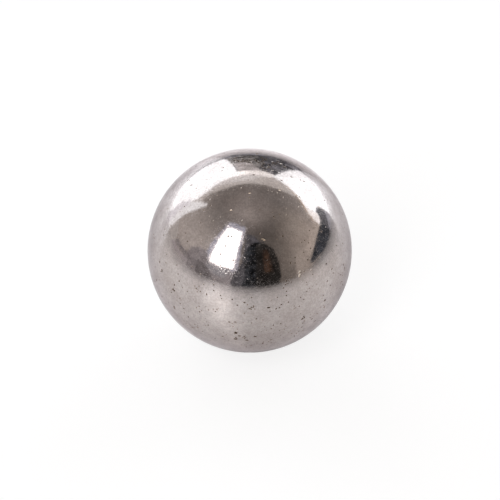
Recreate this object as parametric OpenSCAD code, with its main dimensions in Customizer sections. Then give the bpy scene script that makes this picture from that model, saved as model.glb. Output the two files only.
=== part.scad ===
// Steel ball: one solid, ground to a true sphere.
// Millimetres, +Z up. The origin is the centre of the ball.
// Its surface is the same distance from the centre everywhere, so it has no
// flat, no seam and no axis of its own, and the three row axes are only named.

/* [Ball] */
// Diameter of the ball
ball_d = 25; // [1:0.5:60]

/* [Smoothness] */
// Sides of the drawn circle: the solid itself is an exact sphere
ball_sides = 180; // [48:4:240]

/* [Hidden] */

// The whole object. It is centred, so whatever holds it needs only its diameter.
module ball() {
    color([0.66, 0.65, 0.64])
        sphere(d = ball_d, $fn = ball_sides);
}

ball();
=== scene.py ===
# %% [markdown]
# # A worn steel ball on a light table
# A loose steel ball is ground and lapped until it is a true sphere, then it lives in
# a drawer: it rusts a little, gets knocked, and its skin fills with tiny dark pits.
# A polished ball has almost no colour of its own. What an eye sees in it is the room,
# so this lesson builds three things: the room, the pitted skin and the steel.
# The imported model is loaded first. It fixes the size and the place, and nothing here
# moves or resizes it.

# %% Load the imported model
import math
import random
from collections import namedtuple

import bmesh
import bpy
from mathutils import Matrix, Vector, noise
from mathutils.kdtree import KDTree


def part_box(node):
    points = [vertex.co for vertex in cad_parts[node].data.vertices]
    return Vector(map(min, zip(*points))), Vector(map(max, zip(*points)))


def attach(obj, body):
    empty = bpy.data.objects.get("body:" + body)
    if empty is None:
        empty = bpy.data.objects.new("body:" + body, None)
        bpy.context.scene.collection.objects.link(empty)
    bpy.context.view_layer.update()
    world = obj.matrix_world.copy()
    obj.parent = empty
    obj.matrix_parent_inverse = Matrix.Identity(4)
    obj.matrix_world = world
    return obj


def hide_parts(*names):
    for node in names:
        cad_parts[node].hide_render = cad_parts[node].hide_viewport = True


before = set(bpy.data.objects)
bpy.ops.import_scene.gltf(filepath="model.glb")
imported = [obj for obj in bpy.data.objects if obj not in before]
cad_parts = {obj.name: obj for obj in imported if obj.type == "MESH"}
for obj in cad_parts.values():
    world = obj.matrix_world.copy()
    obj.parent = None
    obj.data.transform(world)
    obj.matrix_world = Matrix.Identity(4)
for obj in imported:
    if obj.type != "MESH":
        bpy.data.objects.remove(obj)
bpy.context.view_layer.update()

ball_low, ball_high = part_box("ball")
ball_radius = min(ball_high - ball_low) / 2
ball_centre = Vector((0, 0, (ball_high.z + ball_low.z) / 2))
MM = 0.001
print("ball radius in mm", round(ball_radius / MM, 3), "centre", [round(c / MM, 3) for c in ball_centre])

# %% [markdown]
# ## Directions
# Everything in the room is placed by the direction in which the ball sees it.
# Plain x, y and z would do, but two angles are easier to think in: azimuth 0 is the
# camera's side and 90 is to its right, and elevation is the height above the table,
# both in degrees.

# %% Directions round the ball
def toward(azimuth, elevation):
    """The direction, of length 1, from the ball to this azimuth and elevation."""
    a, e = math.radians(azimuth), math.radians(elevation)
    return Vector((math.sin(a) * math.cos(e), -math.cos(a) * math.cos(e), math.sin(e)))


print("azimuth 90 is toward", [round(c, 3) for c in toward(90, 0)])

# %% [markdown]
# ## The camera
# The ball is looked down on from about forty degrees, from far enough away that its
# outline is a true circle. A short lens close up would show less than half of the
# ball and stretch what it mirrors, so a long lens stands at 34 ball radii. A camera
# looks along its own -Z, so to_track_quat turns that axis on to the ball.

# %% Camera
CAMERA_ELEVATION = 40.5
CAMERA_DISTANCE = 34.0 * ball_radius
LENS = 250
SENSOR = 36

scene = bpy.context.scene
scene.view_settings.view_transform = "Standard"
camera = bpy.data.objects.new("camera", bpy.data.cameras.new("camera"))
scene.collection.objects.link(camera)
scene.camera = camera
camera.data.lens = LENS
camera.data.sensor_width = SENSOR
camera.data.clip_start = 0.01
camera.data.clip_end = 10
camera.data.shift_x = 0.0007
camera.data.shift_y = 0.0010
to_camera = toward(0, CAMERA_ELEVATION)
camera.location = ball_centre + to_camera * CAMERA_DISTANCE
camera.rotation_euler = (-to_camera).to_track_quat("-Z", "Y").to_euler()
print("camera stands", round(CAMERA_DISTANCE / MM), "mm away")

# %% [markdown]
# ## Helpers for materials
# A material is a graph: nodes with sockets, and links between the sockets. Written out
# call by call it is long and hard to read, so a few helpers say the same in one line
# each. They know their tree, so only the tree is handed on.

# %% Nodes and sockets
def give(socket, value):
    """Links a socket to another socket, or writes a plain value into it."""
    if isinstance(value, bpy.types.NodeSocket):
        socket.id_data.links.new(value, socket)
    else:
        socket.default_value = value


def node(tree, kind, inputs=None, **settings):
    """A new shader node of this kind, with its settings made and its inputs filled."""
    made = tree.nodes.new("ShaderNode" + kind)
    for setting, value in settings.items():
        setattr(made, setting, value)
    for socket, value in (inputs or {}).items():
        give(made.inputs[socket], value)
    return made


def new_material(name):
    """An empty material and its node tree."""
    made = bpy.data.materials.new(name)
    made.use_nodes = True
    made.node_tree.nodes.clear()
    return made, made.node_tree


print("material helpers:", ", ".join(helper.__name__ for helper in (give, node, new_material)))

# %% [markdown]
# ## Ramps
# Much of this room is a brightness that changes with a direction. A texture image could
# hold it, but a colour ramp says it in a few stops that a reader can move.

# %% Ramps
NEUTRAL = (1, 1, 1)


def ramp(tree, position, stops):
    """A ramp read at this position. A stop is (position, brightness), or has a tint too."""
    made = node(tree, "ValToRGB", {0: position})
    steps = made.color_ramp.elements
    while len(steps) < len(stops):
        steps.new(0.5)
    for step, (at, level, *tint) in zip(steps, stops):
        step.position = at
        step.color = (*(level * part for part in (tint[0] if tint else NEUTRAL)), 1)
    return made.outputs[0]


def by_azimuth(*stops):
    """Ramp stops from azimuths of -180 to 180 degrees."""
    return [((azimuth + 180) / 360, *rest) for azimuth, *rest in stops]


def by_elevation(*stops):
    """Ramp stops from elevations of 0 to 90 degrees, on the height of a unit vector."""
    return [(math.sin(math.radians(elevation)), *rest) for elevation, *rest in stops]


print("azimuth 0 is at", by_azimuth((0, 1))[0][0], "of a ramp")

# %% [markdown]
# ## Which way a point lies
# The table and the room both change with the azimuth, so the nodes that measure it are
# one group, built once and placed in both materials. A radial gradient texture counts
# once round from its own -X, so the place is turned a quarter to make azimuth 0 half way.

# %% Azimuth group
def new_group(name, inputs, outputs):
    """An empty node group with these numbers in and out, and its two end nodes."""
    group = bpy.data.node_groups.new(name, "ShaderNodeTree")
    for socket, kind in inputs.items():
        group.interface.new_socket(socket, in_out="INPUT", socket_type="NodeSocket" + kind)
    for socket, kind in outputs.items():
        group.interface.new_socket(socket, in_out="OUTPUT", socket_type="NodeSocket" + kind)
    return group, group.nodes.new("NodeGroupInput").outputs, group.nodes.new("NodeGroupOutput").inputs


azimuth_group, group_in, group_out = new_group("azimuth", {"Place": "Vector"}, {"Turn": "Float"})
quarter_turn = node(azimuth_group, "Mapping", {"Vector": group_in["Place"],
                                               "Rotation": (0, 0, math.radians(90))})
once_round = node(azimuth_group, "TexGradient", {"Vector": quarter_turn.outputs[0]}, gradient_type="RADIAL")
give(group_out["Turn"], once_round.outputs["Fac"])


def azimuth_of(tree, place):
    """A socket from 0 to 1 for the azimuths -180 to 180 degrees of a place."""
    return node(tree, "Group", {"Place": place}, node_tree=azimuth_group).outputs["Turn"]


print("azimuth group has", len(azimuth_group.nodes), "nodes")

# %% [markdown]
# ## The table
# The ball lies on a sheet of opal acrylic that glows a little from beneath. The eye sees it plain white,
# with the ball's soft shadow. The ball sees it as a pale diffuse sheet with a gloss that grows towards the
# horizon, as on any smooth plastic, so the far table mirrors the room. Its glow is drawn by two ramps, one
# outwards and one round about, and they paint light and shade into it: painted shade near the ball and on
# both back sides, deepest on the right where the front lamp's shadow falls, and a painted sheen of the
# front lamp on the left. A Mapping node shifts them, so that the dim middle of the glow, a painted shade,
# is a little in front of the ball.

# %% Where a point of the table lies
FAR_TABLE = 12 * ball_radius
# The shift moves the dim middle of the glow, a painted shade, in front of the ball.
PAINTED_SHADE_SHIFT = (0, 0.6 * ball_radius, 0)

table_material, table_tree = new_material("opal_table")
table_place = node(table_tree, "TexCoord").outputs["Object"]
from_middle = node(table_tree, "Mapping", {"Location": PAINTED_SHADE_SHIFT, "Vector": table_place}).outputs[0]


def maths(tree, operation, first, second=0.0, clamp=False):
    """One step of arithmetic. Each of first and second is a socket or a number."""
    return node(tree, "Math", {0: first, 1: second}, operation=operation, use_clamp=clamp).outputs[0]


def table_share(place):
    """How far out a place is: 0 at the origin, and 1 on the far table and beyond."""
    length = node(table_tree, "VectorMath", {0: place}, operation="LENGTH").outputs["Value"]
    return maths(table_tree, "DIVIDE", length, FAR_TABLE, clamp=True)


reach = table_share(from_middle)
foot_reach = table_share(table_place)
table_turn = azimuth_of(table_tree, from_middle)
print("the far table starts", round(FAR_TABLE / MM), "mm out")

# %% Glow of the table
# Painted light and shade: the glow is low near the ball and on both back sides, as painted shade, and
# highest on the left, as a painted sheen of the front lamp.
GLOW_AND_SHADE_OUTWARD = [(0, 0.09), (0.05, 0.13), (0.09, 0.215), (0.135, 0.275), (0.22, 0.295), (0.55, 0.40),
                (0.70, 0.41), (0.87, 0.33), (1, 0.31)]
SHEEN_AND_SHADE_AROUND = by_azimuth((-180, 1.75), (-167, 0.95), (-157, 0.05), (-130, 0.12), (-115, 0.85), (-90, 1.18),
                         (-48, 1.6), (-33, 2.4), (-18, 1.45), (0, 0.9), (40, 1.0), (90, 1.2),
                         (112, 0.65), (122, 0.25), (131, 0.03), (152, 0.3), (163, 1.2), (180, 1.75))
OFF_MIDDLE = [(0, 0), (0.05, 0.1), (0.14, 1), (1, 1)]
ALL_ONE = (1, 1, 1, 1)


def mixed_colour(tree, blend, factor, first, second):
    """Blends two colours. Each of factor, first and second is a socket or a value."""
    mix = node(tree, "Mix", data_type="RGBA", blend_type=blend)
    for name, value in (("Factor", factor), ("A", first), ("B", second)):
        give(next(s for s in mix.inputs if s.name == name and s.enabled), value)
    return next(s for s in mix.outputs if s.enabled)


glow_and_shade_outward = ramp(table_tree, reach, GLOW_AND_SHADE_OUTWARD)
sheen_and_shade_around = ramp(table_tree, table_turn, SHEEN_AND_SHADE_AROUND)
off_middle = ramp(table_tree, reach, OFF_MIDDLE)
turning = mixed_colour(table_tree, "MIX", off_middle, ALL_ONE, sheen_and_shade_around)
glow = mixed_colour(table_tree, "MULTIPLY", 1.0, glow_and_shade_outward, turning)
print("the glow has", len(GLOW_AND_SHADE_OUTWARD), "stops outwards and", len(SHEEN_AND_SHADE_AROUND), "round about")

# %% [markdown]
# ## The ends of the glow
# The far table gets a painted pool of light from the screens and from between them. Under the ball the glow
# is darkened to a painted contact shadow, the dark ring that seats a ball on its table. Each is one more
# ramp, added to the glow or multiplied with it.

# %% Far side and foot of the table
FULL_GLOW = 0.05
FAR_ONLY = [(0, 0), (0.38, 0), (0.6, 0.2), (1, 0.32)]
FAR_AROUND = by_azimuth((-180, 0.85), (-170, 0.45), (-163, 0), (-145, 0), (-130, 0.5), (-115, 0), (108, 0),
                        (125, 0.6), (142, 0), (157, 0), (167, 0.45), (180, 0.85))
# Painted contact shadow: the glow fades to nothing at the foot of the ball.
PAINTED_CONTACT_SHADOW = [(0, 0), (0.012, 0.05), (0.03, 0.5), (FULL_GLOW, 1), (1, 1)]

painted_far_light = mixed_colour(table_tree, "MULTIPLY", 1.0, ramp(table_tree, reach, FAR_ONLY),
                         ramp(table_tree, table_turn, FAR_AROUND))
glow = mixed_colour(table_tree, "ADD", 1.0, glow, painted_far_light)
glow = mixed_colour(table_tree, "MULTIPLY", 1.0, glow, ramp(table_tree, foot_reach, PAINTED_CONTACT_SHADOW))
print("the glow is full", round(FULL_GLOW * FAR_TABLE / MM, 1), "mm from the foot")

# %% [markdown]
# ## Two looks for one table
# The white background could come from more light, but that would bleach the steel. One switch on the kind
# of ray tells the two looks apart instead: the camera, and light that comes through glass, see nearly white
# acrylic that still holds the shadow, and all else sees the sheet with its glow and its painted light and
# shade.

# %% Mixing shaders
def mix_shaders(tree, factor, first, second):
    """Shades as first where factor is 0 and as second where it is 1."""
    return node(tree, "MixShader", {0: factor, 1: first, 2: second}).outputs[0]


def ray_switch(tree, *kinds):
    """A socket that is 1 for rays of these kinds and 0 for the rest."""
    path = node(tree, "LightPath")
    total = path.outputs[kinds[0]]
    for kind in kinds[1:]:
        total = maths(tree, "MAXIMUM", total, path.outputs[kind])
    return total


def glowing_sheet(tree, grey, glow):
    """A matte sheet of this grey that glows by itself as well."""
    matte = node(tree, "BsdfDiffuse", {"Color": (grey, grey, grey, 1)}).outputs[0]
    lamp = node(tree, "Emission", {"Strength": glow}).outputs[0]
    return node(tree, "AddShader", {0: matte, 1: lamp}).outputs[0]


print("shader helpers:", ", ".join(helper.__name__ for helper in (mix_shaders, ray_switch, glowing_sheet)))

# %% Table as mirrored and as seen
TABLE_GREY = 0.70
TABLE_GLOSS = (0.77, 0.77, 0.77, 1)
TABLE_ROUGHNESS = 0.21
ACRYLIC_IOR = 1.45
SEEN_GREY, SEEN_GLOW = 0.24, 0.79
TO_PLAIN_WHITE = [(0, 0), (0.3, 0), (0.7, 1), (1, 1)]

gloss = node(table_tree, "BsdfGlossy", {"Color": TABLE_GLOSS, "Roughness": TABLE_ROUGHNESS}).outputs[0]
edge_on = node(table_tree, "Fresnel", {"IOR": ACRYLIC_IOR}).outputs[0]
as_mirrored = mix_shaders(table_tree, edge_on, glowing_sheet(table_tree, TABLE_GREY, glow), gloss)
plain_white = node(table_tree, "Emission").outputs[0]
spread = ramp(table_tree, foot_reach, TO_PLAIN_WHITE)
as_seen = mix_shaders(table_tree, spread, glowing_sheet(table_tree, SEEN_GREY, SEEN_GLOW), plain_white)
seen = ray_switch(table_tree, "Is Camera Ray", "Is Transmission Ray")
node(table_tree, "OutputMaterial", {"Surface": mix_shaders(table_tree, seen, as_mirrored, as_seen)})
print("table material has", len(table_tree.nodes), "nodes")

# %% [markdown]
# ## The table top
# Only the sheet's light matters here, so it is one flat disc with no thickness. A square
# would do as well, but a disc ends equally far out all round, as the room does.

# %% Table top
TABLE_RADIUS = 2.0


def stage_object(name, bm, material):
    """A mesh made from bm that belongs to the studio, not to the ball."""
    mesh = bpy.data.meshes.new(name)
    bm.to_mesh(mesh)
    bm.free()
    made = bpy.data.objects.new(name, mesh)
    mesh.materials.append(material)
    scene.collection.objects.link(made)
    return made


bm = bmesh.new()
bmesh.ops.create_circle(bm, cap_ends=True, segments=128, radius=TABLE_RADIUS)
bmesh.ops.translate(bm, verts=bm.verts, vec=ball_centre - Vector((0, 0, ball_radius)))
table_top = stage_object("table", bm, table_material)
print(table_top.name, "is", 2 * TABLE_RADIUS, "m across")

# %% [markdown]
# ## The white surround
# Round a light table hangs white paper. A backdrop object could stand there, but the
# world itself can be the paper: it is white to the eye and to gloss, and to everything
# else it is the dim brown-grey light of the room.

# %% Surround
ROOM_AIR = (0.43, 0.40, 0.385, 1)
scene.world = bpy.data.worlds.new("surround")
scene.world.use_nodes = True
world_tree = scene.world.node_tree
world_tree.nodes.clear()
room_light = node(world_tree, "Background", {"Color": ROOM_AIR}).outputs[0]
white_paper = node(world_tree, "Background", {"Color": (1, 1, 1, 1)}).outputs[0]
seen = ray_switch(world_tree, "Is Camera Ray", "Is Glossy Ray", "Is Transmission Ray")
node(world_tree, "OutputWorld", {"Surface": mix_shaders(world_tree, seen, room_light, white_paper)})
print("surround has", len(world_tree.nodes), "nodes")

# %% [markdown]
# ## Cards
# A studio is built from cards: bright ones are lamps, dark ones are whatever stands in
# the room. Area lamps would do for the bright ones, but only a mesh can be cut to any
# shape. Each card is cut by the directions of its corners as seen from the ball, and it
# fades out over a soft margin, as a fabric lamp front or an out-of-focus thing does.
# The camera doesn't see them, and they cast no shadow: only the ball and the table see
# them.

# %% Rows and tints
FRONT_ROW = 1.3
MIDDLE_ROW = 1.6
BACK_ROW = 1.9
STEP = 0.05
WHITE = (1.0, 0.99, 0.985)
SCREEN_WHITE = (0.95, 1.0, 1.04)
WARM_GREY = (1.0, 0.96, 0.925)
COOL_GREY = (0.95, 0.97, 1.08)
MAUVE = (1.0, 0.93, 0.96)
LILAC = (0.96, 0.98, 1.18)
LEFT_WALL = (1.0, 0.92, 0.87)
RIGHT_WALL = (1.0, 0.89, 0.80)
print("the rows stand", FRONT_ROW, MIDDLE_ROW, "and", BACK_ROW, "m from the ball")

# %% [markdown]
# ## What many cards share
# Cloth and cluttered corners aren't one flat tone, and no card ends in a hard line. Both
# effects could be written into every card. As two node groups they are built once: one
# swings a brightness between two levels, and each mottled card gives it its own levels.
# The other reads the attribute cover, which is 1 on the sheet and 0 at its rim.

# %% Mottled cloth group
CLOTH_STRETCH = (0.45, 0.45, 1)
CLOTH_SCALE = 14.0
CLOTH_DETAIL = 3.0
CLOTH_LOW, CLOTH_HIGH = 0.41, 0.59

limits = {"Least": "Float", "Most": "Float"}
cloth_group, group_in, group_out = new_group("mottled_cloth", limits, {"Level": "Float"})
place = node(cloth_group, "TexCoord").outputs["Object"]
hang = node(cloth_group, "Mapping", {"Vector": place, "Scale": CLOTH_STRETCH}).outputs[0]
weave = node(cloth_group, "TexNoise", {"Vector": hang, "Scale": CLOTH_SCALE, "Detail": CLOTH_DETAIL})
levels = {"To Min": group_in["Least"], "To Max": group_in["Most"]}
swing = node(cloth_group, "MapRange", {"Value": weave.outputs["Fac"], "From Min": CLOTH_LOW,
                                       "From Max": CLOTH_HIGH, **levels})
give(group_out["Level"], swing.outputs["Result"])
print("cloth group has", len(cloth_group.nodes), "nodes")

# %% Soft edge group
edge_group, group_in, group_out = new_group("soft_edge", {}, {"Mask": "Float"})
cover = node(edge_group, "Attribute", attribute_name="cover").outputs["Fac"]
ease = node(edge_group, "MapRange", {"Value": cover}, interpolation_type="SMOOTHSTEP")
give(group_out["Mask"], ease.outputs["Result"])
print("soft edge group has", len(edge_group.nodes), "nodes")


# %% Card material
def card_material(name, tint, level, mottle):
    """A light of this tint and level that is clear outside the card's soft edge."""
    material, tree = new_material(name)
    shine = node(tree, "Emission", {"Color": (*tint, 1), "Strength": level})
    if mottle:
        cloth = node(tree, "Group", {"Least": level * (1 - mottle), "Most": level * (1 + mottle)},
                     node_tree=cloth_group)
        give(shine.inputs["Strength"], cloth.outputs["Level"])
    clear = node(tree, "BsdfTransparent").outputs[0]
    mask = node(tree, "Group", node_tree=edge_group).outputs["Mask"]
    node(tree, "OutputMaterial", {"Surface": mix_shaders(tree, mask, clear, shine.outputs[0])})
    return material


print("a card's material is clear outside its soft edge")

# %% Card
cards = []


def card(name, corners, tint, level, soft=2.0, distance=MIDDLE_ROW, mottle=0.0):
    """A card with corners at (azimuth, elevation), whose light fades over soft degrees."""
    bm = bmesh.new()
    sheet = bm.faces.new([bm.verts.new(ball_centre + toward(*corner) * distance) for corner in corners])
    bmesh.ops.inset_region(bm, faces=[sheet], thickness=distance * math.radians(soft), use_even_offset=True)
    cover = bm.verts.layers.float.new("cover")
    for v in sheet.verts:
        v[cover] = 1.0
    bmesh.ops.triangulate(bm, faces=bm.faces)
    bmesh.ops.subdivide_edges(bm, edges=bm.edges, cuts=3, use_grid_fill=True)
    for v in bm.verts:
        v.co = ball_centre + (v.co - ball_centre).normalized() * distance
    made = stage_object(name, bm, card_material(name, tint, level, mottle))
    made.visible_camera = False
    made.visible_shadow = False
    cards.append(name)


print("a card stands", MIDDLE_ROW, "m out unless it says otherwise")

# %% [markdown]
# ## The lamp in front
# A tall soft box stands in front on the left. A plain white card would look cut out, so
# three cards make it: the bright cloth front, the thin blue light that leaks past its
# frame, and the grey spill of light below it.

# %% Front lamp
SPILL_GREY = (0.97, 0.96, 1.03)
card("front_lamp",
     [(-48.3, 16.9), (-18.4, 18.2), (-15.6, 59.8), (-49.2, 58.8)],
     WHITE, level=4.6, soft=1.2, distance=FRONT_ROW + 3 * STEP)
card("front_lamp_rim",
     [(-56.5, 13), (-22, 12), (-13.5, 19), (-10, 65.5), (-53, 64)],
     LILAC, level=0.64, soft=5.0, distance=BACK_ROW)
card("front_lamp_spill",
     [(-50, 11), (-40, 6.5), (-27, 6.5), (-23, 14), (-21, 24), (-50, 24)],
     SPILL_GREY, level=0.51, soft=7.0, distance=FRONT_ROW + 3.5 * STEP)
print(len(cards), "cards so far")

# %% [markdown]
# ## The screens behind
# Two wide white screens stand behind, one each side of a dark gap. They give the ball
# the two bright shoulders that make it read as polished. A screen's far end, its inner
# side and its foot are each a little dimmer than its middle, and its rim is warm.

# %% Right screen
WARM_EDGE = (1.0, 0.80, 0.62)
card("right_screen",
     [(125.8, -3), (144, -1), (157, 3.5), (157, 40.3), (140, 39.3), (113, 30.5), (113, 13.5),
      (122.8, 14.5)],
     SCREEN_WHITE, level=2.5, soft=1.5)
card("right_screen_foot",
     [(143, -3), (157, -3), (157, 6), (143, 4)],
     SCREEN_WHITE, level=0.95, soft=2.0, distance=BACK_ROW)
card("right_screen_inner",
     [(148, -1), (157, 3.5), (157, 40), (151.5, 40)],
     SCREEN_WHITE, level=2.15, soft=4.0, distance=MIDDLE_ROW - STEP / 2)
card("right_screen_end",
     [(104.8, 12), (115, 12), (115, 31), (108, 28), (104.8, 21)],
     WHITE, level=1.85, soft=1.4)
card("right_screen_rim",
     [(102, 10), (157, 10), (157, 42.5), (140, 41.2), (110, 31.5), (103, 23)],
     WARM_EDGE, level=0.85, soft=1.5, distance=BACK_ROW)
print(len(cards), "cards so far")

# %% Left screen
DIM_EDGE_WHITE = (0.97, 0.98, 1.05)
card("left_screen",
     [(-169.5, 5), (-160, 2.6), (-150, 0.8), (-140, -1.5), (-126, -3), (-124.8, 16), (-122.8, 23),
      (-122.8, 33), (-130.5, 39.3), (-142, 41.6), (-169.5, 44)],
     SCREEN_WHITE, level=2.5, soft=1.5)
card("left_screen_foot",
     [(-170, -3), (-148, -3), (-148, 4), (-170, 8)],
     SCREEN_WHITE, level=0.95, soft=2.0, distance=BACK_ROW)
card("left_screen_edge",
     [(-128, -3), (-119, -3), (-118, 24), (-127, 26)],
     DIM_EDGE_WHITE, level=1.42, soft=1.0)
card("left_screen_edge_top",
     [(-132, 20), (-117, 20), (-116, 37), (-134, 46)],
     WARM_GREY, level=0.9, soft=3.0, distance=BACK_ROW)
print(len(cards), "cards so far")

# %% [markdown]
# ## The strip on the left
# A narrow strip lamp stands beside the left screen and doubles its bright line. It bends
# away at the top, so its sides have more corners than a straight strip would need. A dim
# spill of light lies in front of its foot.

# %% Side strip
STRIP_WHITE = (0.97, 1.0, 1.03)
card("side_strip_spill",
     [(-120, -3), (-95, -3), (-98, 10), (-114, 15)],
     WARM_GREY, level=0.72, soft=5.0, distance=BACK_ROW)
card("side_strip",
     [(-122, -2), (-113, -2), (-111.3, 14), (-110.8, 23), (-109.2, 31), (-108.8, 45), (-112, 46),
      (-119, 35), (-122.5, 22)],
     STRIP_WHITE, level=1.6, soft=1.2)
print(len(cards), "cards so far")

# %% [markdown]
# ## The room
# Round the lamps is a dim brown-grey room. It could be four walls and a ceiling, but the
# ball shows no corner of it. So it is a dome, and its brightness goes by azimuth in one
# ramp and by height in another. Towards the ceiling a third one takes over, round about
# again, and a fourth says how far.

# %% Room walls
WALLS_AROUND = by_azimuth((-180, 0.55, LEFT_WALL), (-110, 0.60, LEFT_WALL), (-70, 0.665, LEFT_WALL),
                          (-55, 0.68, LEFT_WALL), (-24, 0.56, LEFT_WALL), (-10, 0.29, RIGHT_WALL),
                          (38, 0.25, RIGHT_WALL), (51, 0.34, RIGHT_WALL), (60, 0.465, RIGHT_WALL),
                          (88, 0.64, RIGHT_WALL), (110, 0.54, LEFT_WALL), (180, 0.55, LEFT_WALL))
WALLS_UP = by_elevation((0, 0.92), (7, 0.92), (13, 1.08), (20, 1.05), (30, 0.97), (36, 0.88),
                        (47, 0.71), (55, 0.53), (60, 0.45), (66, 0.42), (90, 0.42))

room_material, room_tree = new_material("room")
room_place = node(room_tree, "TexCoord").outputs["Object"]
room_turn = azimuth_of(room_tree, room_place)
room_way = node(room_tree, "VectorMath", {0: room_place}, operation="NORMALIZE").outputs[0]
room_height = node(room_tree, "SeparateXYZ", {0: room_way}).outputs["Z"]
walls = mixed_colour(room_tree, "MULTIPLY", 1.0, ramp(room_tree, room_turn, WALLS_AROUND),
                     ramp(room_tree, room_height, WALLS_UP))
print("the walls have", len(WALLS_AROUND), "stops round about and", len(WALLS_UP), "up")

# %% Room ceiling
CEILING = (1.0, 0.90, 0.85)
CEILING_SHARE = by_elevation((0, 0), (50, 0), (60, 0.24), (66, 0.42), (78, 0.9), (90, 1))
CEILING_AROUND = by_azimuth((-180, 0.40, CEILING), (-90, 0.42, CEILING), (-60, 0.45, CEILING),
                            (-20, 0.50, CEILING), (20, 0.47, CEILING), (70, 0.39, CEILING),
                            (150, 0.34, CEILING), (180, 0.40, CEILING))

whole_room = mixed_colour(room_tree, "MIX", ramp(room_tree, room_height, CEILING_SHARE), walls,
                          ramp(room_tree, room_turn, CEILING_AROUND))
room_shine = node(room_tree, "Emission", {"Color": whole_room}).outputs[0]
node(room_tree, "OutputMaterial", {"Surface": room_shine})
print("room material has", len(room_tree.nodes), "nodes")

# %% Room dome
ROOM_RADIUS = 2.4
BELOW_THE_TABLE = (0, 0, -0.02)

bm = bmesh.new()
bmesh.ops.create_uvsphere(bm, u_segments=96, v_segments=48, radius=ROOM_RADIUS)
bmesh.ops.bisect_plane(bm, geom=bm.verts[:] + bm.edges[:] + bm.faces[:], plane_co=BELOW_THE_TABLE,
                       plane_no=(0, 0, -1), clear_outer=True)
dome = stage_object("room", bm, room_material)
dome.visible_camera = False
dome.visible_shadow = False
print("room is", 2 * ROOM_RADIUS, "m across")

# %% [markdown]
# ## The wall behind the screens
# The screens throw light on the wall behind them, and the ball shows it as a pale arch
# over its dark middle. One card would end in a hard step, so smaller and brighter ones
# stand in front of each other, and each fades into the next.

# %% Lit wall
card("lit_wall",
     [(126, 20), (-129, 20), (-129.5, 47), (-138, 52.5), (-150, 56.5), (-170, 59), (175, 58.5),
      (160, 57.2), (149, 55.5), (136, 50), (125, 41)],
     WARM_GREY, level=0.9, soft=2.2, distance=BACK_ROW)
card("lit_wall_middle",
     [(152, 20), (-132, 20), (-138, 44), (-151, 51), (-165, 53.5), (178, 53), (165, 46.5)],
     WHITE, level=1.15, soft=4.0, distance=BACK_ROW - STEP)
card("lit_wall_foot",
     [(148, 20), (-140, 20), (-144, 41), (-156, 45), (-178, 45), (158, 43)],
     WHITE, level=1.75, soft=3.0, distance=BACK_ROW - 2 * STEP)
card("lit_wall_spot",
     [(181, 38.5), (191, 38.5), (191, 43.5), (181, 43.5)],
     WHITE, level=2.6, soft=1.5, distance=BACK_ROW - 3 * STEP)
print(len(cards), "cards so far")

# %% [markdown]
# ## The dark gap
# Between the two screens the ball sees into the unlit back of the room: stands, cables
# and cloth, all out of focus. They have no shape that could be modelled, so a few
# mottled dark cards stand for them, with one paler patch and a darker hollow.

# %% Dark gap
WARM_WHITE = (1.0, 0.97, 0.98)
card("gap",
     [(156.5, -3), (173, -3), (173, 36), (156.5, 37)],
     COOL_GREY, level=0.2, soft=1.2, distance=FRONT_ROW, mottle=0.7)
card("gap_right",
     [(169, -3), (-169, -3), (-169, 37.5), (169, 36)],
     WHITE, level=0.29, soft=1.5, distance=FRONT_ROW + STEP, mottle=0.8)
card("gap_patch",
     [(181, 20.5), (-170, 21), (-170, 36.8), (171, 35.8), (176, 29)],
     WARM_WHITE, level=0.82, soft=2.6, distance=FRONT_ROW - STEP, mottle=0.3)
card("gap_dark",
     [(163, 2), (176, 3), (176, 17), (158, 18), (158, 10), (163, 9)],
     COOL_GREY, level=0.13, soft=3.0, distance=FRONT_ROW - 3 * STEP, mottle=0.5)
card("gap_glow",
     [(156.5, 18), (165, 18), (165, 27), (156.5, 27)],
     COOL_GREY, level=0.34, soft=2.0, distance=FRONT_ROW - STEP, mottle=0.4)
card("gap_foot",
     [(156.5, 2.5), (165, 2.5), (165, 8.5), (156.5, 8.5)],
     COOL_GREY, level=0.42, soft=1.5, distance=FRONT_ROW - 2 * STEP, mottle=0.4)
card("gap_foot_right",
     [(174, -2), (-169, -2), (-169, 5), (174, 5)],
     COOL_GREY, level=0.4, soft=2.0, distance=FRONT_ROW - 2 * STEP, mottle=0.6)
print(len(cards), "cards so far")

# %% [markdown]
# ## The foot of the walls
# Along the foot of the left wall runs a shadow, deepest below the lamp, with a thin
# skirting. On the right the foot of the wall is paler instead. A ramp by height can't
# tell the two sides apart, so soft cards lay both over the room.

# %% Low shade and skirting
card("low_shade",
     [(-84, -12), (-8, -12), (-10, 12), (-48, 17), (-56, 25), (-66, 24), (-76, 16)],
     MAUVE, level=0.42, soft=8.0, distance=FRONT_ROW + 4 * STEP, mottle=0.2)
card("low_shade_end",
     [(-60.5, -3), (-38, -3), (-42, 6), (-50, 11), (-62, 13)],
     MAUVE, level=0.25, soft=5.0, distance=FRONT_ROW + 2 * STEP, mottle=0.2)
card("skirting",
     [(-98, 4), (-60, 5), (-60, 9.2), (-78, 9.2), (-97, 7.4)],
     MAUVE, level=0.35, soft=1.6, distance=FRONT_ROW + 3 * STEP, mottle=0.15)
card("skirting_foot",
     [(-104, -2), (-73, -2), (-73, 3.8), (-100, 3)],
     MAUVE, level=0.6, soft=1.2, distance=FRONT_ROW + 3.5 * STEP)
card("low_wall",
     [(50, -3), (80, -3), (76, 17), (62, 22), (54.5, 14)],
     RIGHT_WALL, level=0.57, soft=8.0, distance=BACK_ROW)
print(len(cards), "cards so far")

# %% [markdown]
# ## The drape and the furniture
# A black drape hangs beside the lamp so that the steel gets a deep dark next to its
# brightest light. Flat cards are enough for it, because cloth this dark shows no folds.
# A warm rail shows through it, and low dark furniture is on the right.

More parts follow.
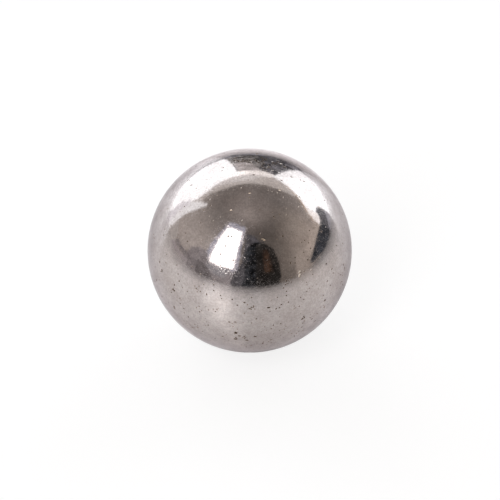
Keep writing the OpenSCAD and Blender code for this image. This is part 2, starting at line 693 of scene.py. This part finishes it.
# %% Drape
DRAPE_HAZE = (0.96, 0.95, 1.06)
DRAPE_BLUE = (0.85, 0.95, 1.12)
DRAPE_BROWN = (1.0, 0.94, 0.88)
RAIL_WOOD = (1.0, 0.62, 0.44)
card("drape_left",
     [(-21.8, -10), (24, -10), (22, 40), (10, 57), (-6.5, 59), (-8, 40), (-9.6, 27), (-15.2, 18),
      (-19.3, 9)],
     DRAPE_HAZE, level=0.15, soft=7.0, distance=FRONT_ROW + STEP, mottle=0.3)
card("drape",
     [(-10, -2), (26, -2), (25, 45), (18, 48.5), (9, 49.5), (1, 47.5), (-5, 40), (-7, 29), (-5, 12)],
     DRAPE_BLUE, level=0.044, soft=6.0, distance=FRONT_ROW, mottle=0.95)
card("drape_end",
     [(6, -2), (30, -2), (34, 5), (35.5, 20), (34, 37), (27, 44.5), (18, 47), (9, 46.5)],
     DRAPE_BROWN, level=0.029, soft=5.0, distance=FRONT_ROW - STEP / 2, mottle=0.5)
card("rail",
     [(16.5, 14), (26, 14), (25.5, 39), (18.5, 39)],
     RAIL_WOOD, level=0.1, soft=3.2, distance=FRONT_ROW - STEP, mottle=0.4)
print(len(cards), "cards so far")

# %% Low furniture
FURNITURE_BLUE = (0.85, 0.95, 1.15)
card("low_furniture_side",
     [(108, -3), (124, -3), (124.5, 6), (121, 10), (114, 6)],
     COOL_GREY, level=0.66, soft=2.5, distance=FRONT_ROW + STEP)
card("low_furniture_wall",
     [(70, 8), (106, 12), (106, 22), (70, 18)],
     RIGHT_WALL, level=0.74, soft=4.0, distance=BACK_ROW)
card("low_furniture",
     [(69, 1.5), (75, 7.6), (85, 12), (95, 14), (107, 13.5), (112.5, 13.3), (115.3, 19.5),
      (118.7, 16.8), (122.5, 10.5), (120.5, 6), (116, 3.5), (112.5, 0.5), (109, -2), (98, -1.5),
      (86, 0), (73, 0.8)],
     FURNITURE_BLUE, level=0.08, soft=1.5, distance=FRONT_ROW, mottle=0.35)
card("low_furniture_end",
     [(111, 2), (115, 2), (121, 6), (123.5, 11), (119, 18), (109, 13)],
     COOL_GREY, level=0.2, soft=3.0, distance=FRONT_ROW - STEP, mottle=0.3)
print(len(cards), "cards in all")

# %% [markdown]
# ## The pits
# Damp and knocks leave two kinds of mark. Rust eats small dark pits, round or drawn out,
# singly and in clusters, and more of them below than above, where hands and cloth rub.
# Knocks leave dents, and their brightness is a painted highlight: a paler base colour, golden on some. The
# blackest worn pits are painted shade. A bump texture could only shade them, so each mark is noted here
# first, with its place, its size and what fills it, and becomes a real hollow later.
# The marks in front are at listed places, right and up in ball radii as the camera sees them.

# %% Places on the ball
view_right = Vector((1, 0, 0))
view_up = to_camera.cross(view_right)


def seen_at(right, up):
    """The direction of the spot seen this far right and up of the centre, in ball radii."""
    ahead = math.sqrt(1 - right * right - up * up)
    nearer = 1 - ahead * ball_radius / CAMERA_DISTANCE
    spot = (view_right * right + view_up * up) * nearer
    return spot + to_camera * math.sqrt(1 - spot.length_squared)


print("the middle of the view is toward", [round(c, 2) for c in seen_at(0, 0)])

# %% A pit
Pit = namedtuple("Pit", "at along across half_long half_wide depth marks")
MARKS = ("grime", "shine", "rust")
pits = []


def add_pit(at, long, wide, turn=0.0, grime=1.0, shine=0.0, rust=0.0, deep=0.25):
    """Notes a pit. Length and width are in mm, the turn is in degrees and the depth is a share of the
    width. The rest go from 0 to 1, and grime to 2, which above 1 paints the pit black inside as shade.
    Shine paints a pale highlight on a dent and the golden glint a golden one."""
    along = (view_right - at * view_right.dot(at)).normalized()
    along.rotate(Matrix.Rotation(math.radians(turn), 3, at))
    pits.append(Pit(at.copy(), along, at.cross(along), long * MM / 2, wide * MM / 2, wide * MM * deep,
                    (grime, shine, rust)))


def add_pits(places, **looks):
    """A pit of the same size and looks at each of these places."""
    for right, up in places:
        add_pit(seen_at(right, up), **looks)


print("a pit holds", ", ".join(MARKS))

# %% Round pits
ROUND_PITS = [(-0.7, -0.23), (-0.765, -0.41), (-0.285, -0.44), (-0.275, -0.47), (-0.17, -0.48),
              (-0.12, -0.535), (-0.68, -0.52), (0.02, -0.46), (0.36, -0.4), (0.36, -0.44), (0.5, -0.46),
              (0.53, -0.48), (0.52, -0.71), (0.38, -0.505), (0.56, -0.4), (0.02, -0.71), (0.065, -0.67),
              (0.72, -0.44), (0.79, -0.34), (0.82, -0.22), (-0.46, -0.79), (-0.535, -0.725),
              (0.23, -0.735), (0.305, -0.715), (0.2, -0.595), (-0.61, 0.09), (-0.625, 0.17),
              (-0.83, 0.21), (-0.48, 0.27), (0.585, 0.195), (0.735, 0.49), (0.85, 0.05)]
add_pits(ROUND_PITS, long=0.19, wide=0.155, turn=40)
print(len(pits), "pits so far")

# %% Drawn-out pits
TALL_PITS = [(-0.735, -0.335), (-0.69, -0.3), (-0.42, -0.43), (-0.91, -0.29), (-0.925, -0.16),
             (-0.88, -0.11), (0.4, -0.12), (0.57, -0.09), (0.93, -0.17), (0.92, -0.14), (-0.84, 0.15),
             (0.325, 0.14), (-0.8, 0.41)]
WIDE_PITS = [(-0.05, -0.51), (-0.2, -0.7), (0.205, -0.875), (-0.14, -0.7), (-0.265, -0.84),
             (0.0, -0.57), (0.41, 0.72), (-0.57, 0.64), (0.04, 0.74)]
SLANTED_PITS = [(0.19, -0.56), (0.64, -0.69), (0.26, -0.57), (0.29, -0.56), (0.31, -0.53),
                (-0.49, -0.6), (-0.405, -0.73), (0.61, -0.67), (0.75, -0.13), (0.805, -0.18),
                (0.76, -0.3), (-0.6, -0.65), (0.51, -0.75)]
add_pits(TALL_PITS, long=0.32, wide=0.155, turn=90)
add_pits(WIDE_PITS, long=0.33, wide=0.16, turn=0)
add_pits(SLANTED_PITS, long=0.30, wide=0.15, turn=35)
print(len(pits), "pits so far")

# %% Fine and large pits
FINE_PITS = [(-0.45, -0.33), (-0.35, -0.33), (-0.61, -0.4), (-0.68, -0.465), (-0.64, -0.61),
             (-0.52, -0.56), (-0.81, -0.04), (0.53, -0.02), (0.69, -0.56), (0.66, -0.62), (0.75, -0.61),
             (0.38, -0.8), (0.13, -0.68), (-0.12, -0.77), (-0.77, 0.24), (-0.7, 0.15), (-0.71, 0.125),
             (-0.47, 0.1), (-0.38, 0.44), (-0.32, 0.54), (-0.27, 0.78), (-0.52, 0.61), (0.61, 0.66),
             (0.27, 0.11), (0.63, 0.22), (0.51, 0.08), (0.91, 0.07), (0.27, -0.46)]
TALL_LARGE_PITS = [(-0.858, -0.195)]
LARGE_PITS = [(-0.135, -0.805), (-0.135, -0.868), (-0.027, -0.878), (0.052, -0.843), (-0.1, -0.836),
              (0.185, -0.56)]
add_pits(FINE_PITS, long=0.17, wide=0.12, turn=60, grime=0.8)
add_pits(TALL_LARGE_PITS, long=0.46, wide=0.23, turn=90)
add_pits(LARGE_PITS, long=0.46, wide=0.23, turn=6)
print(len(pits), "pits so far")

# %% Pits in the lamp's bright patch
LAMP_PITS = [(-0.21, 0.14), (-0.175, 0.14), (-0.235, 0.045), (-0.16, -0.095), (-0.285, -0.035)]
add_pits(LAMP_PITS, long=0.25, wide=0.18, turn=20, grime=0.8)
print(len(pits), "pits so far")

# %% Big dents with a painted highlight
BIG_GLINTS = [(0.492, -0.212), (0.49, -0.245)]
# Their brightness is a painted highlight: a pale base colour, tinged golden.
add_pits(BIG_GLINTS, long=0.50, wide=0.36, turn=60, grime=0, shine=1, rust=0.25, deep=0.2)
print(len(pits), "pits so far")

# %% [markdown]
# ## Pits by chance
# Some marks are too many or too small to be placed by hand. They are drawn at random, but
# from a fixed seed, so the same ball comes out each time. A random height with a random
# turn spreads points evenly over a sphere, which two random angles would not.

# %% Random directions
SEED = 7
random.seed(SEED)


def random_direction():
    """Any direction, all of them equally likely."""
    z = random.uniform(-1, 1)
    a = random.uniform(0, 2 * math.pi)
    r = math.sqrt(1 - z * z)
    return Vector((r * math.cos(a), r * math.sin(a), z))


def nearby(at, reach):
    """A direction within about this many mm of the first one."""
    step = random_direction() * (reach * MM / ball_radius) * random.random() ** 0.5
    return (at + step).normalized()


print("random places start from seed", SEED)

# %% Clusters
GROUPS = [(-0.86, -0.2), (-0.74, -0.39), (-0.13, -0.81), (-0.06, -0.85), (0.73, -0.49), (0.52, -0.655),
          (-0.14, -0.86)]
PITS_IN_A_GROUP = 5
GROUP_REACH = 0.32
GROUP_WIDTHS = (0.14, 0.21)
GROUP_STRETCH = (1.0, 1.6)
ANY_TURN = (0, 180)
for right, up in GROUPS:
    for _ in range(PITS_IN_A_GROUP):
        wide = random.uniform(*GROUP_WIDTHS)
        at = nearby(seen_at(right, up), GROUP_REACH)
        add_pit(at, wide * random.uniform(*GROUP_STRETCH), wide, random.uniform(*ANY_TURN))
print(len(pits), "pits so far")

# %% Small dents with a painted highlight
GLINTS = [(0.6, -0.19), (-0.083, 0.615), (0.36, 0.41), (0.36, 0.35), (0.48, 0.43), (0.49, 0.51),
          (0.745, 0.23), (0.33, 0.524), (-0.39, 0.5), (-0.396, 0.333), (-0.287, 0.329), (-0.075, 0.293),
          (-0.358, 0.29), (0.182, 0.59), (0.22, 0.579), (0.272, 0.567)]
DARK_ROOM_GLINTS = [(0.05, -0.098), (0.104, -0.13), (-0.053, -0.068), (0.019, -0.307), (0.077, -0.312),
                    (-0.124, -0.312)]
GOLDEN_GLINTS = [(0.137, 0.108), (0.125, 0.115), (0.145, 0.1), (0.0, 0.562), (0.294, 0.591),
                 (-0.184, 0.394)]
# Each of these dents gets a painted highlight, pale or golden.
add_pits(GLINTS, long=0.30, wide=0.11, turn=70, grime=0, shine=0.75, rust=0.15, deep=0.14)
add_pits(DARK_ROOM_GLINTS, long=0.36, wide=0.10, turn=-35, grime=0, shine=0.6, deep=0.12)
add_pits(GOLDEN_GLINTS, long=0.38, wide=0.15, turn=10, grime=0, shine=1, rust=0.55, deep=0.15)
print(len(pits), "pits so far")

# %% Worn patches near the top
WORN_PATCHES = [(-0.12, 0.88), (0.0, 0.87), (0.12, 0.89), (0.16, 0.82), (0.27, 0.85)]
MARKS_IN_A_PATCH = 14
PATCH_REACH = 1.1
WORN_WIDTHS = (0.10, 0.18)
WORN_STRETCH = (1.5, 3.2)
WORN_TURN = (-25, 25)
GRIMY_AND_SHADED_SHARE = 0.8
# Most of these marks are grimy and painted black inside as shade, and the rest get a painted highlight.
for right, up in WORN_PATCHES:
    for _ in range(MARKS_IN_A_PATCH):
        wide = random.uniform(*WORN_WIDTHS)
        grimy_and_shaded = random.random() < GRIMY_AND_SHADED_SHARE
        at = nearby(seen_at(right, up), PATCH_REACH)
        add_pit(at, wide * random.uniform(*WORN_STRETCH), wide, random.uniform(*WORN_TURN),
                grime=1.9 * grimy_and_shaded, shine=0.5 * (not grimy_and_shaded), deep=0.18)
print(len(pits), "pits so far")

# %% Fine dents below the lamp's patch
LAMP_FOOT_GLINTS = [(-0.25, -0.2), (-0.2, -0.225), (-0.15, -0.24), (-0.29, -0.18)]
DENTS_IN_A_PATCH = 9
CLUSTER_REACH = 0.7
FINE_DENT_WIDTHS = (0.07, 0.12)
FINE_DENT_STRETCH = (1.0, 1.8)
# These dents get a painted highlight from the shine mark.
for right, up in LAMP_FOOT_GLINTS:
    for _ in range(DENTS_IN_A_PATCH):
        wide = random.uniform(*FINE_DENT_WIDTHS)
        at = nearby(seen_at(right, up), CLUSTER_REACH)
        add_pit(at, wide * random.uniform(*FINE_DENT_STRETCH), wide, random.uniform(*ANY_TURN),
                grime=0, shine=0.55, deep=0.1)
print(len(pits), "pits so far")

# %% [markdown]
# ## Pits all over
# The rest of the ball is as old as its front. Fine single pits, clusters and a few dents
# are strewn over all of it, fewer on the cleaner upper side, and none on one rubbed spot.

# %% Strewn pits
CLEANER_ABOVE = 0.1
RUBBED_SPOT = seen_at(-0.22, 0.03)
RUBBED_SPREAD = math.cos(math.radians(18))
SINGLE_TRIES = 640
SINGLES_RUBBED_OUT = 0.55
SINGLE_WIDTHS = (0.075, 0.155)
SINGLE_GRIME = (0.4, 1)
STREWN_STRETCH = (1.0, 2.0)


def rubbed_out(at, share_above):
    """Whether a pit here is polished away: always in the rubbed spot, by chance above."""
    by_chance = at.z > CLEANER_ABOVE and random.random() < share_above
    return by_chance or at.dot(RUBBED_SPOT) > RUBBED_SPREAD


for _ in range(SINGLE_TRIES):
    wide = random.uniform(*SINGLE_WIDTHS)
    at = random_direction()
    if not rubbed_out(at, SINGLES_RUBBED_OUT):
        add_pit(at, wide * random.uniform(*STREWN_STRETCH), wide, random.uniform(*ANY_TURN),
                grime=random.uniform(*SINGLE_GRIME))
print(len(pits), "pits so far")

# %% Strewn clusters
CLUSTER_TRIES = 70
CLUSTERS_RUBBED_OUT = 0.4
PITS_IN_A_CLUSTER = (3, 7)
CLUSTER_WIDTHS = (0.09, 0.16)
CLUSTER_GRIME = (0.5, 1)
for _ in range(CLUSTER_TRIES):
    middle = random_direction()
    if rubbed_out(middle, CLUSTERS_RUBBED_OUT):
        continue
    for _ in range(random.randint(*PITS_IN_A_CLUSTER)):
        wide = random.uniform(*CLUSTER_WIDTHS)
        at = nearby(middle, CLUSTER_REACH)
        add_pit(at, wide * random.uniform(*STREWN_STRETCH), wide, random.uniform(*ANY_TURN),
                grime=random.uniform(*CLUSTER_GRIME))
print(len(pits), "pits so far")

# %% Strewn dents
DENT_TRIES = 25
DENT_WIDTHS = (0.12, 0.17)
DENT_STRETCH = (1.0, 1.5)
# The strewn dents also get a painted highlight from the shine mark.
for _ in range(DENT_TRIES):
    wide = random.uniform(*DENT_WIDTHS)
    at = random_direction()
    if at.dot(RUBBED_SPOT) < RUBBED_SPREAD:
        add_pit(at, wide * random.uniform(*DENT_STRETCH), wide, random.uniform(*ANY_TURN),
                grime=0, shine=0.4, deep=0.12)
print(len(pits), "pits in all")

# %% [markdown]
# ## The skin of the ball
# A mirror shows every facet, and a UV sphere bunches its faces at two poles, so the ball
# is an icosphere, whose triangles are all nearly alike. To be fine enough for the pits
# everywhere it would need millions of faces. Instead only the edges near a pit are
# split, in three rounds that come closer and closer, and the new corners are put back
# on the sphere.

# %% Split the skin round the pits
FINENESS = 7
SPLITS = ((0.12 * MM, 0), (0.05 * MM, 0), (0.02 * MM, 0.072 * MM))


def search_tree(points):
    """A tree that quickly finds which of these points are near a place."""
    found = KDTree(len(points))
    for index, point in enumerate(points):
        found.insert(point, index)
    found.balance()
    return found


bm = bmesh.new()
bmesh.ops.create_icosphere(bm, subdivisions=FINENESS, radius=ball_radius)
for margin, narrowest in SPLITS:
    middles = search_tree([(edge.verts[0].co + edge.verts[1].co) / 2 for edge in bm.edges])
    near = set()
    for pit in pits:
        if pit.half_wide >= narrowest:
            found = middles.find_range(pit.at * ball_radius, pit.half_long + margin)
            near.update(index for _, index, _ in found)
    bm.edges.ensure_lookup_table()
    bmesh.ops.subdivide_edges(bm, edges=[bm.edges[index] for index in near], cuts=1, use_grid_fill=True)
    bmesh.ops.triangulate(bm, faces=[face for face in bm.faces if len(face.verts) > 3])
    for v in bm.verts:
        v.co = v.co.normalized() * ball_radius
    print(len(bm.faces), "faces")

# %% [markdown]
# ## The hollows
# A rust pit is a shallow bowl with a soft rim and a ragged outline. Each corner inside a
# pit is pushed towards the centre by the bowl's depth there, so every pit shades and
# mirrors by itself. What fills the pit is kept on the mesh as three attributes, which
# the steel reads, so colour and shape can't slip apart.

# %% Push the pits in
BOWL_REACH = 1.3
RAGGED_SHARE = 0.25
RAGGED_BUMPS = 9000  # to the metre
MARK_FADE = 2.8

bm.verts.ensure_lookup_table()
corners = search_tree([v.co for v in bm.verts])
layers = [bm.verts.layers.float.new(name) for name in MARKS]
sunk = {}
for pit in pits:
    for co, index, _ in corners.find_range(pit.at * ball_radius, pit.half_long * BOWL_REACH):
        out_by = math.hypot(co.dot(pit.along) / pit.half_long, co.dot(pit.across) / pit.half_wide)
        out_by *= 1 + RAGGED_SHARE * noise.noise(co * RAGGED_BUMPS)
        if out_by >= 1:
            continue
        sunk[index] = max(sunk.get(index, 0), pit.depth * (1 - out_by * out_by) ** 2)
        v = bm.verts[index]
        for layer, amount in zip(layers, pit.marks):
            v[layer] = max(v[layer], amount * min(1, (1 - out_by) * MARK_FADE))
print(len(sunk), "corners lie in a pit, the deepest", round(max(sunk.values()) / MM, 3), "mm down")

# %% The ball
for index, depth in sunk.items():
    v = bm.verts[index]
    v.co = v.co.normalized() * (ball_radius - depth)
bmesh.ops.translate(bm, verts=bm.verts, vec=ball_centre)
mesh = bpy.data.meshes.new("steel_ball")
bm.to_mesh(mesh)
bm.free()
mesh.shade_smooth()
steel_ball = bpy.data.objects.new("steel_ball", mesh)
scene.collection.objects.link(steel_ball)
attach(steel_ball, "root")
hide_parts("ball")
print("the ball has", len(mesh.polygons), "faces")

# %% [markdown]
# ## The steel: patterns
# The steel is one metal, but no part of a used ball is evenly bright. Handling clouds it,
# wiping scratches it, and damp stains it. All of that is finer than the mesh, so it is
# built from noise in the shader, at sizes given in metres, so that it keeps its scale.

# %% Noise and ranges
def wavy(tree, place, size, detail=2.0):
    """Noise from 0 to 1 whose bumps are about this size, in metres."""
    return node(tree, "TexNoise", {"Vector": place, "Scale": 1 / size, "Detail": detail}).outputs["Fac"]


def between(tree, value, low, high, to_low=0.0, to_high=1.0, smooth=True):
    """Maps low..high to to_low..to_high, and holds the ends beyond."""
    span = {"Value": value, "From Min": low, "From Max": high, "To Min": to_low, "To Max": to_high}
    kind = "SMOOTHSTEP" if smooth else "LINEAR"
    return node(tree, "MapRange", span, interpolation_type=kind).outputs["Result"]


def bump(tree, height, distance, below=None):
    """A bump of this height in metres, laid on the normal below it."""
    made = node(tree, "Bump", {"Height": height, "Strength": 1.0, "Distance": distance})
    if below is not None:
        give(made.inputs["Normal"], below)
    return made.outputs[0]


print("patterns are built by", wavy.__name__, "and", between.__name__)


# %% Pocks and scratches
def pocks(tree, place, cell, small, large, share):
    """Round spots: 1 in the middle and 0 outside, in this share of the cells."""
    cells = node(tree, "TexVoronoi", {"Vector": place, "Scale": 1 / cell})
    draw = node(tree, "SeparateColor", {0: cells.outputs["Color"]}).outputs
    radius = between(tree, draw[0], 0, 1, small / cell, large / cell, smooth=False)
    inside = maths(tree, "DIVIDE", cells.outputs["Distance"], radius)
    chosen = maths(tree, "LESS_THAN", draw[1], share)
    return maths(tree, "MULTIPLY", between(tree, inside, 0.4, 1.0, 1.0, 0.0), chosen)


def scratches(tree, place, turn, length, spacing, width):
    """Thin lines, this many times longer than they are apart: 1 on a line and 0 off it."""
    slant = [math.radians(part) for part in turn]
    stretch = node(tree, "Mapping", {"Vector": place, "Rotation": slant, "Scale": (1, 1, length)},
                   vector_type="TEXTURE")
    height = wavy(tree, stretch.outputs[0], spacing, 0)
    off = maths(tree, "ABSOLUTE", maths(tree, "SUBTRACT", height, 0.5))
    return between(tree, off, 0, width, 1, 0)


print("a scratch is the middle line of a stretched noise")

# %% [markdown]
# ## The steel: what light runs over
# A lapped surface is smooth to the eye but never flat: it has a faint orange peel, a
# finer grain, and shallow dings left by other balls. They are a few thousandths of a
# millimetre high, far too low to model, and bump nodes laid one on another bend the
# mirrored room just enough.

# %% Bumps
steel_material, steel_tree = new_material("polished_steel")
steel = node(steel_tree, "BsdfPrincipled", {"Metallic": 1.0})
place = node(steel_tree, "TexCoord").outputs["Object"]

PEEL_SIZE, PEEL_HEIGHT = 0.55 * MM, 0.0035 * MM
GRAIN_SIZE, GRAIN_HEIGHT = 0.16 * MM, 0.0015 * MM
DINGS = {"cell": 0.6 * MM, "small": 0.10 * MM, "large": 0.22 * MM, "share": 0.35}
DING_DEPTH = 0.0018 * MM

normal = bump(steel_tree, wavy(steel_tree, place, PEEL_SIZE, 1.0), PEEL_HEIGHT)
normal = bump(steel_tree, wavy(steel_tree, place, GRAIN_SIZE), GRAIN_HEIGHT, normal)
normal = bump(steel_tree, pocks(steel_tree, place, **DINGS), -DING_DEPTH, normal)
give(steel.inputs["Normal"], normal)
print("bumps took", len(steel_tree.nodes), "nodes")

# %% [markdown]
# ## The steel: marks
# Some marks only change how sharp or how dark the mirror is: the haze and grime in the
# pits, pinpricks between them, crumbly scuffs, and two sets of hair scratches that show
# only where the skin is worn. Each is a mask from 0 to 1 that the colour and the
# roughness share.

# %% Pit masks and pinpricks
PINPRICKS = {"cell": 0.42 * MM, "small": 0.05 * MM, "large": 0.10 * MM, "share": 0.24}
PITTED_BELOW = (-0.15 * ball_radius, 0.4 * ball_radius)
DARK_SHARES = (0.9, 0.22)


def marked(name):
    """The amount of this kind of mark, kept on the mesh."""
    return node(steel_tree, "Attribute", attribute_name=name).outputs["Fac"]


grime, shine, rust = (marked(name) for name in MARKS)
pinpricks = pocks(steel_tree, place, **PINPRICKS)
height = node(steel_tree, "SeparateXYZ", {0: place}).outputs["Z"]
pitted_side = between(steel_tree, height, *PITTED_BELOW, *DARK_SHARES)
dark_spots = maths(steel_tree, "MULTIPLY", pinpricks, pitted_side)
print("the mesh carries", ", ".join(MARKS))

# %% Scuffs and hair scratches
PATCH_SIZE, CRUMB_SIZE, WORN_SIZE = 3.5 * MM, 0.15 * MM, 1.3 * MM
PATCHY = 0.3
SCUFFED = (0.72, 0.84)
WORN = (0.46, 0.66)
LONG_LINES = {"turn": (50, 20, 0), "length": 12, "spacing": 0.7 * MM, "width": 0.012}
SHORT_LINES = {"turn": (-35, 60, 0), "length": 1.6, "spacing": 0.5 * MM, "width": 0.018}

patches = maths(steel_tree, "MULTIPLY", wavy(steel_tree, place, PATCH_SIZE), PATCHY)
crumbs = maths(steel_tree, "ADD", wavy(steel_tree, place, CRUMB_SIZE, 1.0), patches)
scuffs = between(steel_tree, crumbs, *SCUFFED)
lines = maths(steel_tree, "MAXIMUM", scratches(steel_tree, place, **LONG_LINES),
              scratches(steel_tree, place, **SHORT_LINES))
worn = between(steel_tree, wavy(steel_tree, place, WORN_SIZE), *WORN)
lines = maths(steel_tree, "MULTIPLY", lines, worn)
print("steel has", len(steel_tree.nodes), "nodes so far")

# %% [markdown]
# ## The steel: colour
# Bare steel is a slightly warm grey, and a stain darkens it in soft patches. A metal has
# a second colour, at its rim, where every metal mirrors more: the Principled shader
# calls it the specular tint. Both get the same cloudiness and the same pits.

# %% Bare steel
STEEL_STAINED = (0.448, 0.401, 0.385, 1)
STEEL_CLEAN = (0.492, 0.449, 0.435, 1)
RIM_STAINED = (0.83, 0.797, 0.82, 1)
RIM_CLEAN = (0.95, 0.913, 0.94, 1)
PAINTED_DENT_HIGHLIGHT = (0.82, 0.78, 0.74, 1)
PAINTED_GOLDEN_GLINT = (0.92, 0.66, 0.40, 1)
STAIN_SIZE, CLOUD_SIZE, SPECK_SIZE = 2.5 * MM, 0.7 * MM, 0.22 * MM
SPECK_SWING = (0.885, 1.10)
CLOUD_SWING = (0.95, 1.05)


def swing_grey(mask, levels):
    """A grey that goes from the first level to the second with the mask."""
    low, high = ((level, level, level, 1) for level in levels)
    return mixed_colour(steel_tree, "MIX", mask, low, high)


stain = between(steel_tree, wavy(steel_tree, place, STAIN_SIZE, 4.0), 0.3, 0.7)
cloud = between(steel_tree, wavy(steel_tree, place, CLOUD_SIZE), 0.3, 0.7)
speck = between(steel_tree, wavy(steel_tree, place, SPECK_SIZE), 0.25, 0.75)
mottle = mixed_colour(steel_tree, "MULTIPLY", 1.0, swing_grey(speck, SPECK_SWING),
                      swing_grey(cloud, CLOUD_SWING))
bare = mixed_colour(steel_tree, "MIX", stain, STEEL_STAINED, STEEL_CLEAN)
bare = mixed_colour(steel_tree, "MULTIPLY", 1.0, bare, mottle)
# Painted highlights: dents get a pale base colour, and glints a golden one.
bare = mixed_colour(steel_tree, "MIX", shine, bare, PAINTED_DENT_HIGHLIGHT)
bare = mixed_colour(steel_tree, "MIX", rust, bare, PAINTED_GOLDEN_GLINT)
rim = mixed_colour(steel_tree, "MIX", stain, RIM_STAINED, RIM_CLEAN)
rim = mixed_colour(steel_tree, "MULTIPLY", 1.0, rim, mottle)
print("specks differ by up to", round(100 * (SPECK_SWING[1] - SPECK_SWING[0])), "percent")

# %% Pits in the colour
PINPRICK_BROWN = (0.09, 0.07, 0.06, 1)
PIT_EDGE_BROWN = (0.24, 0.175, 0.12, 1)
PIT_BROWN = (0.09, 0.066, 0.047, 1)
PAINTED_PIT_SHADE = (0.008, 0.007, 0.007, 1)
# The last depth, for grime above 1, is painted shade: it turns the deep worn pits black.
PIT_DEPTHS = (((0, 0.5), PIT_EDGE_BROWN), ((0.35, 0.95), PIT_BROWN), ((1.0, 1.5), PAINTED_PIT_SHADE))

fillings = [(dark_spots, PINPRICK_BROWN)]
fillings += [(between(steel_tree, grime, *limits), brown) for limits, brown in PIT_DEPTHS]


def pitted(colour):
    """Lays the pinpricks, the brown pit edges, the dark pit bottoms and the painted black shade of deep
    pits on a colour.
    """
    for mask, filling in fillings:
        colour = mixed_colour(steel_tree, "MIX", mask, colour, filling)
    return colour


give(steel.inputs["Base Color"], pitted(bare))
give(steel.inputs["Specular Tint"], pitted(rim))
print(len(fillings), "fillings are laid on both colours")

# %% [markdown]
# ## The steel: how sharp it mirrors
# A clean lapped ball has a roughness near nothing, and this one is only a little hazed.
# Pits and pinpricks mirror nothing, and scuffs and scratches blur a little. The marks are
# joined by their maximum, not their sum, so where two of them cross it gets no rougher.

# %% Roughness
HAZED = 0.075
DULL = 0.55
SHARES = ((pinpricks, 0.3), (shine, 0.6), (scuffs, 0.32), (lines, 0.26))
CLOUD_HAZE = 0.05

dull = between(steel_tree, grime, 0, 0.25)
for mask, share in SHARES:
    dull = maths(steel_tree, "MAXIMUM", dull, maths(steel_tree, "MULTIPLY", mask, share))
dull = maths(steel_tree, "ADD", dull, maths(steel_tree, "MULTIPLY", cloud, CLOUD_HAZE))
give(steel.inputs["Roughness"], between(steel_tree, dull, 0, 1, HAZED, DULL, smooth=False))
node(steel_tree, "OutputMaterial", {"Surface": steel.outputs[0]})
mesh.materials.append(steel_material)
print("steel has", len(steel_tree.nodes), "nodes")
